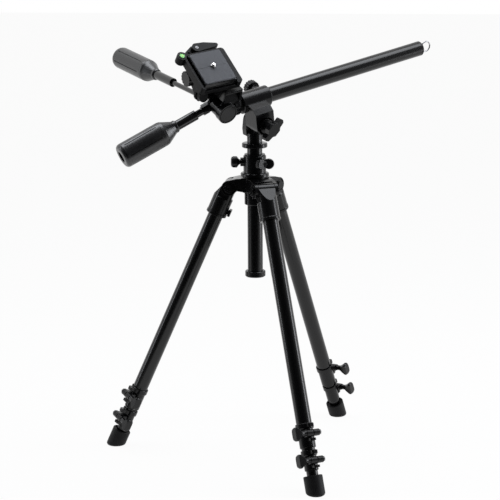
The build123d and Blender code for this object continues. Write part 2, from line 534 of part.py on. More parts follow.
def platform():
    low, high = PLATFORM_Z
    tray = block(PLATFORM_X, PLATFORM_Y, PLATFORM_Z)
    body = fillet(tray.edges().filter_by(Axis.Z), 6)
    tab_top = LEVER_Z[0] - 0.4
    x, y = LEVER_PIVOT
    tab = outline((x - 24, y - 14), (x - 23, y - 2), (x - 6, y + 8.5), (x + 11, y + 9.5), (x + 15, y - 14))
    tab -= Pos(x - 16, y - 4) * Circle(2.4)
    body += extrude(Pos(0, 0, low) * tab, tab_top - low)
    body += Pos(*LEVEL_CENTRE, 0) * disc(LEVEL_BOSS, low, high + 1)
    body += ear(REAR_EAR_X, True) + ear(FRONT_EAR_X, False)
    butt, ring, waist, flange = SIDE_BOSS
    boss = disc(8.6, butt, ring) + disc(7.4, ring - 1, waist + 1) + disc(9, waist, flange)
    body += side_handle_place() * boss
    pocket = [side + 2 * PLATE_GAP + PLATE_MARGIN for side in PAD_SIZE]
    body -= rounded_slab(pocket, PLATE_FLOOR, 90, 5)
    half = pocket[0] / 2 - 2
    body -= block((PLATE_CENTRE[0] - half, PLATE_CENTRE[0] + half),
                  (PLATFORM_Y[0] - 5, PLATFORM_Y[0] + 12), (FRONT_LIP, 90))
    body -= Pos(*LEVEL_CENTRE, 0) * disc(LEVEL_RADIUS, high - 6, 90)
    body -= Pos(*LEVER_PIVOT, 0) * disc(3 + FIT, 50, 70)
    body -= side_handle_place() * disc(SIDE_HANDLE[5] + FIT, SIDE_HANDLE[0] - 0.5, 60)
    return body - Pos(0, SIDE_AXIS_Y, SIDE_AXIS_Z) * bar_along("x", SIDE_AXLE_RADIUS + FIT, -80, 30)


def level_vial():
    top, radius = PLATFORM_Z[1] + 1, LEVEL_RADIUS
    return Pos(*LEVEL_CENTRE, 0) * turned((0, top - 7), (radius, top - 7), (radius, top),
                                          (radius - 1.2, top + 0.6),
                                          (0, top + 0.8))


def quick_plate():
    base = [side + PLATE_MARGIN for side in PAD_SIZE]
    low = PLATE_FLOOR + 0.3
    body = rounded_slab(base, low, low + 3, 4.4)
    lower = Pos(*PLATE_CENTRE, low + 3) * Rectangle(base[0] - 2, base[1] - 2)
    upper = Pos(*PLATE_CENTRE, PLATE_TOP) * Rectangle(PAD_SIZE[0] + 1.6, PAD_SIZE[1] + 1.6)
    body += loft([lower.faces()[0], upper.faces()[0]], ruled=True)
    hole = Pos(*PLATE_CENTRE, 0)
    return body - hole * disc(SCREW_RADIUS + 0.2, 50, 90) - hole * disc(9, 50, PLATE_FLOOR + 5)


def plate_pad():
    hole = Pos(*PLATE_CENTRE, 0) * disc(SCREW_RADIUS + 0.6, PLATE_TOP - 1, PAD_TOP + 1)
    return rounded_slab(PAD_SIZE, PLATE_TOP, PAD_TOP, 2.5) - hole


def camera_screw():
    head_low = PLATE_FLOOR + 1
    return Pos(*PLATE_CENTRE, 0) * turned(
        (0, head_low), (8.4, head_low), (8.4, head_low + 3.6), (SHANK_RADIUS, head_low + 3.6),
        (SHANK_RADIUS, THREAD_LOW),
        (SCREW_RADIUS, THREAD_LOW), (SCREW_RADIUS, SCREW_TOP - 1), (SCREW_RADIUS - 1, SCREW_TOP),
        (0, SCREW_TOP))


def release_lever():
    x, y = LEVER_PIVOT
    low, high = LEVER_Z
    flat = Pos(x, y) * Circle(8.6) + Pos(x + LEVER_REACH, y - 2) * Circle(3.6)
    flat += outline((x, y - 8.6), (x + LEVER_REACH, y - 5.6), (x + LEVER_REACH + 1, y + 1.4),
                    (x + 16, y + 7.4), (x, y + 8.6))
    lever = extrude(Pos(0, 0, low) * flat, high - low)
    pin = Pos(x, y, 0) * disc(3, PLATFORM_Z[0] + 0.4, low + 1)
    return lever + pin - Pos(x, y, 0) * disc(3.4, high - 1.2, high + 1)


def side_tilt_knob():
    rear, front = -REAR_EAR_X[0], -FRONT_EAR_X[1]
    knob = lobed(13, rear + 2.5, rear + 12.5, 14, 1.1) + disc(7, rear + 0.4, rear + 3)
    axle = disc(SIDE_AXLE_RADIUS, front - 1, rear + 4)
    return Pos(0, SIDE_AXIS_Y, SIDE_AXIS_Z) * Rot(0, -90, 0) * (knob + axle)


LEAN, RISE = radians(PIVOT_LEAN), ARM_Z - BRACKET_PIVOT_Z
LAP_PITCH = asin(sin(radians(ARM_PITCH)) / cos(LEAN))
LAP_HEADING = ARM_HEADING + degrees(atan(sin(LEAN) * tan(LAP_PITCH)))
ARM_AXIS = (RISE * cos(LEAN) * sin(LAP_PITCH), RISE * sin(LEAN), RISE * cos(LEAN) * cos(LAP_PITCH))
HEADING = Rot(0, 0, LAP_HEADING)
LAP = HEADING * Pos(0, 0, BRACKET_PIVOT_Z) * Rot(PIVOT_LEAN, 0, 0) * Rot(0, -degrees(LAP_PITCH), 0)
ARM = LAP * Pos(*ARM_AXIS)
PAN = ARM * Rot(HEAD_PAN, 0, 0)
TILT = PAN * Pos(TILT_X, 0, TILT_OFFSET) * Rot(0, HEAD_TILT, 0)
DECK = TILT * Pos(0, SIDE_AXIS_Y, SIDE_AXIS_Z) * Rot(SIDE_TILT, 0, 0) * Pos(0, -SIDE_AXIS_Y, -SIDE_AXIS_Z)

for leg in zip(LEG_NAMES, LEG_AZIMUTHS, CLAMP_TURNS, KNOB_SIDES):
    build_leg(*leg)

save(crown(), "crown")
save(pivot_bolts(), "leg_pivot_bolts")
save(column_bush(), "column_bush")
save(pipe(COLUMN_OD / 2, COLUMN_ID / 2, COLUMN_BOTTOM, COLUMN_TOP), "column_tube")
save(column_foot_cap(), "column_foot_cap")
save(stop_ring(), "column_stop_ring")
save(HEADING * column_top(), "column_top")
save(collar_screw_place(THUMB_AZIMUTH) * thumb_knob(), "collar_knob")
save(collar_screw_place(WING_AZIMUTH) * collar_wing(), "collar_wing")
save(LAP * arm_bracket(), "arm_bracket")
save(LAP * pivot_wing(), "arm_pivot_wing")
save(ARM * Pos(LOCK_X, 0, 0) * Rot(-LOCK_LEAN, 0, 0) * lock_knob(), "arm_lock_knob")
save(ARM * Rot(0, 90, 0) * pipe(ARM_OD / 2, ARM_ID / 2, ARM_LEFT, ARM_RIGHT), "arm_tube")
save(ARM * arm_end_cap(), "arm_end_cap")
save(ARM * eye_hook(), "arm_eye_hook")
save(PAN * head_base(), "head_base")
save(PAN * head_body(), "head_body")
save(PAN * pan_knob_place() * pan_knob(), "pan_knob")
save(TILT * tilt_block(), "tilt_block")
save(TILT * tilt_handle_place() * handle_rod(*TILT_HANDLE), "tilt_handle_rod")
save(TILT * tilt_handle_place() * handle_grip(*TILT_HANDLE), "tilt_handle_grip")
save(DECK * platform(), "platform")
save(DECK * level_vial(), "level_vial")
save(DECK * side_handle_place() * handle_rod(*SIDE_HANDLE), "side_handle_rod")
save(DECK * side_handle_place() * handle_grip(*SIDE_HANDLE), "side_handle_grip")
save(DECK * side_tilt_knob(), "side_tilt_knob")
save(DECK * quick_plate(), "quick_plate")
save(DECK * plate_pad(), "plate_pad")
save(DECK * camera_screw(), "camera_screw")
save(DECK * release_lever(), "release_lever")
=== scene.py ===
# %% [markdown]
# A folding camera tripod, dressed for a studio picture.
# The solids come from the imported frame, at their real size. What is left for
# this file is the camera, the light, the finishes and the small hardware that is
# too fine for the solids.

# %% Load the frame
import json
import bmesh
import bpy
from math import cos, pi, radians, sin
from mathutils import Matrix, Vector


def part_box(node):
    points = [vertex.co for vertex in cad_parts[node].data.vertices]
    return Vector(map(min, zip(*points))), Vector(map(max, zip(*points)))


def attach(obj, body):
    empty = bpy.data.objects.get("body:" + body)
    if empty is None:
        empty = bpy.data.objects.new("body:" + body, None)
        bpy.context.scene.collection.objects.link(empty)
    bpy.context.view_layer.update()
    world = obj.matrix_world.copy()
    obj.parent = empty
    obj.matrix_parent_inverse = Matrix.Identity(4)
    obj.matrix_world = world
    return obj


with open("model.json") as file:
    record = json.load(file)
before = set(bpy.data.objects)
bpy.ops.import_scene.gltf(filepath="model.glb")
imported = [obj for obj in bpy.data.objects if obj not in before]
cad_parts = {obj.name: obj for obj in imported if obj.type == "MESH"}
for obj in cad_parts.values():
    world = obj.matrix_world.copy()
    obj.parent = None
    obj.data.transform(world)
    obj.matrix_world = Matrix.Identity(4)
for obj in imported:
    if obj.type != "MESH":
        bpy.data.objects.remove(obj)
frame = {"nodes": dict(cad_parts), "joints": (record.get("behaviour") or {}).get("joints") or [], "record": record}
NODES = frame["nodes"]
JOINTS = {joint["name"]: joint for joint in frame["joints"]}
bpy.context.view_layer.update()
SIDES = ("left", "front", "right")

# %% [markdown]
# The camera comes first, because everything else is judged through it.
# A long lens from about three metres keeps the legs nearly parallel, as in a
# catalogue picture. The camera was fitted to the picture, where the optical axis
# isn't quite at the middle. A small lens shift says the same thing.

# %% Camera
CAMERA_PLACE = (0.3715, -2.7880, 0.9393)
CAMERA_HEADING, CAMERA_PITCH, CAMERA_ROLL = 7.35, 78.21, -0.26
camera_data = bpy.data.cameras.new("studio_camera")
camera_data.lens = 120.27
camera_data.sensor_width = 36.0
camera_data.shift_x, camera_data.shift_y = -0.0242, 0.0074
camera = bpy.data.objects.new("studio_camera", camera_data)
camera.matrix_world = (Matrix.Translation(CAMERA_PLACE)
                       @ Matrix.Rotation(radians(CAMERA_HEADING), 4, "Z")
                       @ Matrix.Rotation(radians(CAMERA_PITCH), 4, "X")
                       @ Matrix.Rotation(radians(CAMERA_ROLL), 4, "Z"))
bpy.context.scene.collection.objects.link(camera)
bpy.context.scene.camera = camera
bpy.context.scene.view_settings.view_transform = "Standard"
print("camera:", round(camera_data.lens, 1), "mm lens")

# %% [markdown]
# Light and finishes are both built from nodes, so two helpers come before them.
# One puts a node in a tree and sets its values, the other links sockets in pairs.
# A node's values could be set line by line, but then the links that matter would
# be lost among them.


# %% Node helpers
def add(tree, kind, **values):
    """Puts a node in a tree. Values are properties of the node or defaults of its inputs."""
    node = tree.nodes.new(kind)
    for name, value in values.items():
        if hasattr(node, name):
            setattr(node, name, value)
        else:
            node.inputs[name.replace("_", " ")].default_value = value
    return node


def chain(tree, *sockets):
    """Links sockets in pairs: from, to, from, to."""
    for start, end in zip(sockets[::2], sockets[1::2]):
        tree.links.new(start, end)


# %% [markdown]
# A white background should not need more light on the object. The Light Path node
# tells what kind of ray is asking, so the floor and the room can answer with plain
# white when the ray only shows the background, and with real light otherwise. The
# gloss has a share of its own, because the room is not white on every side.


# %% Rays that show the background
def background_rays(tree, gloss_share=None):
    """One for a ray from the camera, off a gloss or through a clear piece. gloss_share scales the gloss."""
    rays = add(tree, "ShaderNodeLightPath")
    gloss = rays.outputs["Is Glossy Ray"]
    if gloss_share is not None:
        scaled = add(tree, "ShaderNodeMath", operation="MULTIPLY")
        chain(tree, gloss, scaled.inputs[0],
              gloss_share, scaled.inputs[1])
        gloss = scaled.outputs["Value"]
    first = add(tree, "ShaderNodeMath", operation="MAXIMUM")
    either = add(tree, "ShaderNodeMath", operation="MAXIMUM")
    chain(tree, rays.outputs["Is Camera Ray"], first.inputs[0],
          gloss, first.inputs[1],
          first.outputs["Value"], either.inputs[0],
          rays.outputs["Is Transmission Ray"], either.inputs[1])
    return either.outputs["Value"]


# %% [markdown]
# Black objects are drawn by what they reflect. Rays from the camera or through a
# clear piece see a plain white room. Rays off a gloss see that white behind and
# beside the object, and the dim end of the studio on the camera's side, which
# gives each tube a deep core. The light that falls on the object fades towards
# the camera too.

# %% Room light
PLAIN_WHITE = 1.0
FADE_FROM, FADE_TO = -0.95, 0.25
DIM_END, LIT_END = 0.03, 0.35
BEHIND_FROM, BEHIND_TO = -0.3, 0.3
world = bpy.data.worlds.new("studio_room")
bpy.context.scene.world = world
world.use_nodes = True
room = world.node_tree
room.nodes.clear()
direction = add(room, "ShaderNodeTexCoord")
split = add(room, "ShaderNodeSeparateXYZ")
falling = add(room, "ShaderNodeMapRange", interpolation_type="SMOOTHSTEP",
              From_Min=FADE_FROM, From_Max=FADE_TO, To_Min=DIM_END, To_Max=LIT_END)
behind = add(room, "ShaderNodeMapRange", interpolation_type="SMOOTHSTEP",
             From_Min=BEHIND_FROM, From_Max=BEHIND_TO)
strength = add(room, "ShaderNodeMix", data_type="FLOAT", B=PLAIN_WHITE)
background = add(room, "ShaderNodeBackground", Color=(1, 1, 1, 1))
out = add(room, "ShaderNodeOutputWorld")
chain(room, direction.outputs["Generated"], split.inputs["Vector"],
      split.outputs["Y"], falling.inputs["Value"],
      split.outputs["Y"], behind.inputs["Value"],
      background_rays(room, behind.outputs["Result"]), strength.inputs["Factor"],
      falling.outputs["Result"], strength.inputs["A"],
      strength.outputs["Result"], background.inputs["Strength"],
      background.outputs["Background"], out.inputs["Surface"])
print("room:", len(room.nodes), "nodes")

# %% [markdown]
# Three soft lamps make the bright bands. A long panel overhead lies along the arm
# and lights all that faces up, and a tall strip on each side draws a line down the
# legs. Area lamps do this best: a point or a sun would leave hard dots on the
# tubes. Their power is low enough that a colour looks about as it is written.


# %% Softboxes
def softbox(name, place, target, size, power):
    """A rectangular area lamp that faces a point."""
    lamp = bpy.data.lights.new(name, "AREA")
    lamp.shape = "RECTANGLE"
    lamp.size, lamp.size_y = size
    lamp.energy = power
    lamp.color = LAMP_TINT
    obj = bpy.data.objects.new(name, lamp)
    aim = (Vector(target) - Vector(place)).to_track_quat("-Z", "Y")
    obj.matrix_world = Matrix.Translation(place) @ aim.to_matrix().to_4x4()
    bpy.context.scene.collection.objects.link(obj)


LAMP_TINT = (0.92, 0.95, 1.0)
MIDDLE = (0.0, 0.0, 0.4)
softbox("top_panel", place=(0.25, 0.12, 1.9), target=(0.25, 0.12, 0.0), size=(2.5, 0.7), power=25)
softbox("left_strip", place=(-1.7, -0.3, 0.9), target=MIDDLE, size=(0.2, 1.6), power=6)
softbox("right_strip", place=(1.8, 0.2, 0.8), target=MIDDLE, size=(0.4, 1.6), power=15)

# %% [markdown]
# The floor is pale card that ends a little in front of the feet. The camera, the
# gloss and clear pieces see mostly plain white, with a little of the real shading
# left in, so that the feet keep a faint shadow.

# %% Floor
REACH, FRONT_EDGE = 12.0, -0.75
CARD_GREY = (0.86, 0.86, 0.86, 1)
WHITE_SHARE = 0.95
mesh = bpy.data.meshes.new("floor")
mesh.from_pydata([(-REACH, FRONT_EDGE, 0), (REACH, FRONT_EDGE, 0), (REACH, REACH, 0), (-REACH, REACH, 0)],
                 [], [(0, 1, 2, 3)])
floor = bpy.data.objects.new("floor", mesh)
bpy.context.scene.collection.objects.link(floor)
card = bpy.data.materials.new("floor_card")
card.use_nodes = True
tree = card.node_tree
tree.nodes.clear()
paper = add(tree, "ShaderNodeBsdfDiffuse", Color=CARD_GREY)
white = add(tree, "ShaderNodeEmission", Color=(1, 1, 1, 1), Strength=PLAIN_WHITE)
share = add(tree, "ShaderNodeMath", operation="MULTIPLY")
share.inputs[1].default_value = WHITE_SHARE
mix = add(tree, "ShaderNodeMixShader")
out = add(tree, "ShaderNodeOutputMaterial")
chain(tree, background_rays(tree), share.inputs[0],
      share.outputs["Value"], mix.inputs["Fac"],
      paper.outputs["BSDF"], mix.inputs[1],
      white.outputs["Emission"], mix.inputs[2],
      mix.outputs["Shader"], out.inputs["Surface"])
mesh.materials.append(card)
print("floor:", floor.name)

# %% [markdown]
# Several finishes share the same small effects, so each effect is a node group
# that is built once. The first is the grain of paint and moulded skin: a fine
# noise for the height of the surface, and broad soft patches for its colour and
# gloss. Noise in object space stays with a piece when it moves.


# %% Cast grain
def group(name, inputs, outputs):
    """An empty shader group with named sockets."""
    tree = bpy.data.node_groups.new(name, "ShaderNodeTree")
    for label, kind, value in inputs:
        socket = tree.interface.new_socket(label, in_out="INPUT", socket_type=kind)
        socket.default_value = value
    for label, kind in outputs:
        tree.interface.new_socket(label, in_out="OUTPUT", socket_type=kind)
    return tree, tree.nodes.new("NodeGroupInput"), tree.nodes.new("NodeGroupOutput")


FLOAT, VECTOR = "NodeSocketFloat", "NodeSocketVector"
grain, given, result = group("cast_grain", [("Scale", FLOAT, 900.0), ("Spread", FLOAT, 0.5)],
                             [("Height", FLOAT), ("Patches", FLOAT)])
where = add(grain, "ShaderNodeTexCoord")
fine = add(grain, "ShaderNodeTexNoise", Detail=3.0, Roughness=0.6)
broad = add(grain, "ShaderNodeTexNoise", Scale=35.0, Detail=4.0)
chain(grain, where.outputs["Object"], fine.inputs["Vector"],
      where.outputs["Object"], broad.inputs["Vector"],
      given.outputs["Scale"], fine.inputs["Scale"],
      given.outputs["Spread"], broad.inputs["Distortion"],
      fine.outputs["Fac"], result.inputs["Height"],
      broad.outputs["Fac"], result.inputs["Patches"])
print("group:", grain.name)

# %% [markdown]
# An aluminium tube is drawn through a die, which leaves faint lines along it. The
# noise for them is squeezed along the tube's axis, so that it changes quickly
# across the tube and hardly at all along it.

# %% Drawn lines
SQUEEZE = 0.01
drawn, given, result = group("drawn_lines", [("Axis", VECTOR, (0, 0, 1)), ("Fineness", FLOAT, 2500.0)],
                             [("Lines", FLOAT)])
where = add(drawn, "ShaderNodeTexCoord")
along = add(drawn, "ShaderNodeVectorMath", operation="PROJECT")
across = add(drawn, "ShaderNodeVectorMath", operation="SUBTRACT")
streak = add(drawn, "ShaderNodeVectorMath", operation="MULTIPLY_ADD")
streak.inputs[1].default_value = (SQUEEZE, SQUEEZE, SQUEEZE)
lines = add(drawn, "ShaderNodeTexNoise", Detail=2.0)
chain(drawn, where.outputs["Object"], along.inputs[0],
      given.outputs["Axis"], along.inputs[1],
      where.outputs["Object"], across.inputs[0],
      along.outputs["Vector"], across.inputs[1],
      along.outputs["Vector"], streak.inputs[0],
      across.outputs["Vector"], streak.inputs[2],
      streak.outputs["Vector"], lines.inputs["Vector"],
      given.outputs["Fineness"], lines.inputs["Scale"],
      lines.outputs["Fac"], result.inputs["Lines"])
print("group:", drawn.name)

# %% [markdown]
# No cast or moulded edge is perfectly sharp. The Bevel node rounds the shading
# near an edge without changing the mesh, which the solids don't allow. Where the
# rounded normal leaves the true one there is an edge, and that is also where
# paint wears, so the group hands out a mask of it.

# %% Soft edges
EDGE_RADIUS = 0.0006
FLAT_DOT, EDGE_DOT = 0.995, 0.8
edges, given, result = group("soft_edges", [("Radius", FLOAT, EDGE_RADIUS)],
                             [("Normal", VECTOR), ("Edge", FLOAT)])
round_off = add(edges, "ShaderNodeBevel", samples=6)
shape = add(edges, "ShaderNodeNewGeometry")
turn = add(edges, "ShaderNodeVectorMath", operation="DOT_PRODUCT")
mask = add(edges, "ShaderNodeMapRange", From_Min=FLAT_DOT, From_Max=EDGE_DOT)
chain(edges, given.outputs["Radius"], round_off.inputs["Radius"],
      round_off.outputs["Normal"], turn.inputs[0],
      shape.outputs["Normal"], turn.inputs[1],
      turn.outputs["Value"], mask.inputs["Value"],
      round_off.outputs["Normal"], result.inputs["Normal"],
      mask.outputs["Result"], result.inputs["Edge"])
print("group:", edges.name)

# %% [markdown]
# The last effect is a weave, for the pad under the camera. Two sine waves that
# cross each other and are multiplied make a field of small knots. The two
# directions are inputs, so that the weave can lie along a tilted piece.

# %% Pressed weave
woven, given, result = group("pressed_weave", [("Along", VECTOR, (1, 0, 0)), ("Across", VECTOR, (0, 1, 0)),
                                               ("Pitch", FLOAT, 5000.0)], [("Height", FLOAT)])
where = add(woven, "ShaderNodeTexCoord")
waves = []
for direction_name in ("Along", "Across"):
    reach = add(woven, "ShaderNodeVectorMath", operation="DOT_PRODUCT")
    phase = add(woven, "ShaderNodeMath", operation="MULTIPLY")
    wave = add(woven, "ShaderNodeMath", operation="SINE")
    chain(woven, where.outputs["Object"], reach.inputs[0],
          given.outputs[direction_name], reach.inputs[1],
          reach.outputs["Value"], phase.inputs[0],
          given.outputs["Pitch"], phase.inputs[1],
          phase.outputs["Value"], wave.inputs[0])
    waves.append(wave)
knots = add(woven, "ShaderNodeMath", operation="MULTIPLY")
chain(woven, waves[0].outputs["Value"], knots.inputs[0],
      waves[1].outputs["Value"], knots.inputs[1],
      knots.outputs["Value"], result.inputs["Height"])
print("groups:", [tree.name for tree in bpy.data.node_groups])

# %% [markdown]
# One function makes every finish: a colour that drifts a little between two
# values, gloss that drifts with it, and a fine grain. Castings and knobs also get
# soft edges. Tubes and grips are round, so they go without, and a tube's gloss
# follows its drawn lines. What differs is a handful of numbers.


# %% A finish
EDGE_WEAR = 0.15
PATCH_LOW, PATCH_HIGH = 0.3, 0.7


def finish(name, dark, pale, rough, grain_scale, grain_depth, shine=0.5, metal=0.0, edge=EDGE_RADIUS, axis=None):
    """A finish. rough is (lowest, highest). axis draws fine lines along a tube."""
    material = bpy.data.materials.new(name)
    material.use_nodes = True
    tree = material.node_tree
    shader = tree.nodes["Principled BSDF"]
    shader.inputs["Metallic"].default_value = metal
    shader.inputs["Specular IOR Level"].default_value = shine
    texture = add(tree, "ShaderNodeGroup", node_tree=grain, Scale=grain_scale)
    colour = add(tree, "ShaderNodeMix", data_type="RGBA", A=(*dark, 1), B=(*pale, 1))
    gloss = add(tree, "ShaderNodeMapRange", From_Min=PATCH_LOW, From_Max=PATCH_HIGH,
                To_Min=rough[0], To_Max=rough[1])
    bump = add(tree, "ShaderNodeBump", Distance=grain_depth, Strength=1.0)
    chain(tree, texture.outputs["Patches"], colour.inputs["Factor"],
          colour.outputs["Result"], shader.inputs["Base Color"],
          texture.outputs["Patches"], gloss.inputs["Value"],
          gloss.outputs["Result"], shader.inputs["Roughness"],
          texture.outputs["Height"], bump.inputs["Height"],
          bump.outputs["Normal"], shader.inputs["Normal"])
    if edge > 0:
        rim = add(tree, "ShaderNodeGroup", node_tree=edges, Radius=edge)
        worn = add(tree, "ShaderNodeMath", operation="MULTIPLY_ADD")
        worn.inputs[1].default_value = EDGE_WEAR
        chain(tree, rim.outputs["Edge"], worn.inputs[0],
              texture.outputs["Patches"], worn.inputs[2],
              worn.outputs["Value"], colour.inputs["Factor"],
              rim.outputs["Normal"], bump.inputs["Normal"])
    if axis is not None:
        drawing = add(tree, "ShaderNodeGroup", node_tree=drawn, Axis=axis)
        chain(tree, drawing.outputs["Lines"], gloss.inputs["Value"])
    return material


# %% [markdown]
# The tripod is nearly all black, so its finishes differ in gloss more than in
# colour. Castings are sprayed, knobs are moulded, the handle rods are shiny and
# the deck is flat. The grip is a smooth skin, the feet are dull rubber, and the
# pad is the palest of the dark pieces. Only the screws, the wire eye and the
# level stand out.

# %% Finishes
BLACK, SOFT_BLACK = (0.002, 0.002, 0.0023), (0.006, 0.006, 0.0066)
PAINT = finish("casting_paint", BLACK, SOFT_BLACK, (0.17, 0.25), 1400, 0.000003, shine=0.3)
PLASTIC = finish("knob_plastic", (0.003, 0.003, 0.0034), (0.007, 0.007, 0.0077), (0.22, 0.3),
                 2200, 0.000003, shine=0.3)
RUBBER = finish("foot_rubber", (0.006, 0.006, 0.0065), (0.012, 0.012, 0.0125), (0.42, 0.55),
                1800, 0.00004, shine=0.15)
GRIP = finish("grip_skin", (0.006, 0.006, 0.007), (0.011, 0.011, 0.013), (0.28, 0.36),
              2600, 0.000006, shine=0.8, edge=0.0)
PAD = finish("plate_pad", (0.105, 0.108, 0.117), (0.14, 0.144, 0.155), (0.6, 0.75), 500, 0.00012, shine=0.1)
DECK_PAINT = finish("deck_paint", BLACK, SOFT_BLACK, (0.3, 0.4), 1400, 0.000003, shine=0.1)
ROD = finish("handle_rod_gloss", BLACK, (0.004, 0.004, 0.0045), (0.13, 0.19),
             3000, 0.000001, shine=0.7, edge=0.0)
BLACKENED = finish("blackened_steel", (0.14, 0.14, 0.145), (0.2, 0.2, 0.205), (0.25, 0.35),
                   3000, 0.000002, metal=1.0, edge=0.0)
STEEL = finish("plated_steel", (0.62, 0.61, 0.60), (0.78, 0.77, 0.76), (0.12, 0.22), 3000, 0.000004, metal=1.0)
ZINC = finish("zinc_wire", (0.26, 0.26, 0.27), (0.36, 0.36, 0.37), (0.2, 0.3), 3000, 0.000004, metal=1.0)
LEVEL = finish("level_green", (0.08, 0.5, 0.06), (0.2, 0.75, 0.1), (0.1, 0.14), 300, 0.0)
BUBBLE_SHINE = finish("level_bubble", (0.6, 0.7, 0.08), (0.8, 0.85, 0.2), (0.08, 0.12), 300, 0.0)
print("finishes:", len(bpy.data.materials))

# %% [markdown]
# Now each solid gets its finish. The record names a slot for every piece, such as
# casting or rubber, and most finishes follow from that. Tubes need their own axis
# for the drawn lines, so there is one anodised finish for each leg, the column and
# the arm. A few pieces differ from the rest of their slot and are named here.


# %% Dress the solids
def tube_finish(name, axis):
    """Black anodising with drawn lines along an axis."""
    return finish(name, (0.0015, 0.0015, 0.0018), (0.004, 0.004, 0.0045), (0.17, 0.24), 3000, 0.000001,
                  shine=0.4, edge=0.0, axis=axis)


TUBES = {side: tube_finish(f"{side}_leg_anodising", JOINTS[f"{side}_middle_extend"]["axis"]) for side in SIDES}
TUBES["column"] = tube_finish("column_anodising", (0, 0, 1))
TUBES["arm"] = tube_finish("arm_anodising", JOINTS["arm_slide"]["axis"])
SLOTS = {"casting": PAINT, "plastic": PLASTIC, "rubber": RUBBER, "grip": GRIP, "pad": PAD,
         "steel": STEEL, "level": LEVEL}
SPECIAL = {"platform": DECK_PAINT, "release_lever": DECK_PAINT, "leg_pivot_bolts": PAINT,
           "arm_eye_hook": ZINC, "tilt_handle_rod": ROD, "side_handle_rod": ROD}
for part in frame["record"]["subparts"]:
    name = part["node"]
    material = SPECIAL.get(name) or SLOTS.get(part["material_slot"]) or TUBES[name.split("_")[0]]
    materials = NODES[name].data.materials
    materials.clear()
    materials.append(material)
print("dressed:", len(NODES))

# %% [markdown]
# The small hardware needs places, and the joints give them. The plate lifts along
# the deck's upright, the deck leans about its own long side, and the camera screw
# turns in the middle of the pad. Together they make a frame for all that sits
# there, so nothing has to be measured twice.

# %% The deck's own frame
MM = 0.001


def basis(origin, across, up):
    """A frame whose Z is up and whose X lies along across."""
    z = Vector(up).normalized()
    y = z.cross(Vector(across)).normalized()
    x = y.cross(z)
    turn = Matrix((x, y, z)).transposed().to_4x4()
    return Matrix.Translation(origin) @ turn


def joint_place(name, across, up):
    """A frame at a joint's own point."""
    return basis(JOINTS[name]["pos_m"], across, up)


DECK_ACROSS = JOINTS["side_tilt"]["axis"]
DECK_UP = JOINTS["plate_lift"]["axis"]
DECK = joint_place("camera_screw_turn", DECK_ACROSS, DECK_UP)
DECK_X, DECK_Y, DECK_Z = (DECK.to_3x3().col[i].copy() for i in range(3))
print("deck leans", round(DECK_Z.angle(Vector((0, 0, 1))) * 180 / pi, 1), "degrees")

# %% [markdown]
# The pad under the camera is rubber pressed on a cloth, so it shows a fine square
# weave. A straight groove crosses it at the screw. Both are laid out along the
# deck, so they follow the plate whichever way the head leans. They are far too
# fine to model, so they are a height for the bump. The same height sets the colour
# too: the groove and the hollows of the weave are painted darker, as painted shade,
# and the grain mixed into it is random tone.

# %% Pad weave
WEAVE_PITCH = 1300.0
GROOVE_HALF = 0.4 * MM
GROOVE_WEIGHT, GRAIN_WEIGHT = 3.0, 4.0
SHADE_FROM, SHADE_TO = 2.6, 6.6
tree = PAD.node_tree
weave = add(tree, "ShaderNodeGroup", node_tree=woven,
            Along=DECK_X + DECK_Y, Across=DECK_X - DECK_Y, Pitch=WEAVE_PITCH)
spot = add(tree, "ShaderNodeTexCoord")
offset = add(tree, "ShaderNodeVectorMath", operation="SUBTRACT")
offset.inputs[1].default_value = DECK.translation
reach = add(tree, "ShaderNodeVectorMath", operation="DOT_PRODUCT")
reach.inputs[1].default_value = DECK_Y
distance = add(tree, "ShaderNodeMath", operation="ABSOLUTE")
groove = add(tree, "ShaderNodeMapRange", From_Min=GROOVE_HALF * 0.5, From_Max=GROOVE_HALF * 1.5)
depth_and_painted_shade = add(tree, "ShaderNodeMath", operation="MULTIPLY_ADD")
depth_and_painted_shade.inputs[1].default_value = GROOVE_WEIGHT
rough_knots = add(tree, "ShaderNodeMath", operation="MULTIPLY_ADD")
rough_knots.inputs[1].default_value = GRAIN_WEIGHT
pad_grain = next(node for node in tree.nodes if node.type == "GROUP" and node.node_tree == grain)
# Painted shade: the low places, the groove and the hollows of the weave, get the darker colour of the pad.
shade = add(tree, "ShaderNodeMapRange", From_Min=SHADE_FROM, From_Max=SHADE_TO)
chain(tree, spot.outputs["Object"], offset.inputs[0],
      offset.outputs["Vector"], reach.inputs[0],
      reach.outputs["Value"], distance.inputs[0],
      distance.outputs["Value"], groove.inputs["Value"],
      groove.outputs["Result"], depth_and_painted_shade.inputs[0],
      pad_grain.outputs["Height"], rough_knots.inputs[0],
      weave.outputs["Height"], rough_knots.inputs[2],
      rough_knots.outputs["Value"], depth_and_painted_shade.inputs[2],
      depth_and_painted_shade.outputs["Value"], tree.nodes["Bump"].inputs["Height"],
      depth_and_painted_shade.outputs["Value"], shade.inputs["Value"],
      shade.outputs["Result"], tree.nodes["Mix"].inputs["Factor"])
print("pad:", len(tree.nodes), "nodes")

# %% [markdown]
# Every added piece is first a bmesh in millimetres. This helper cleans it, sets it
# in its place, marks which edges stay sharp, and puts it on the body that carries
# it, so that it moves with that body at every pose.


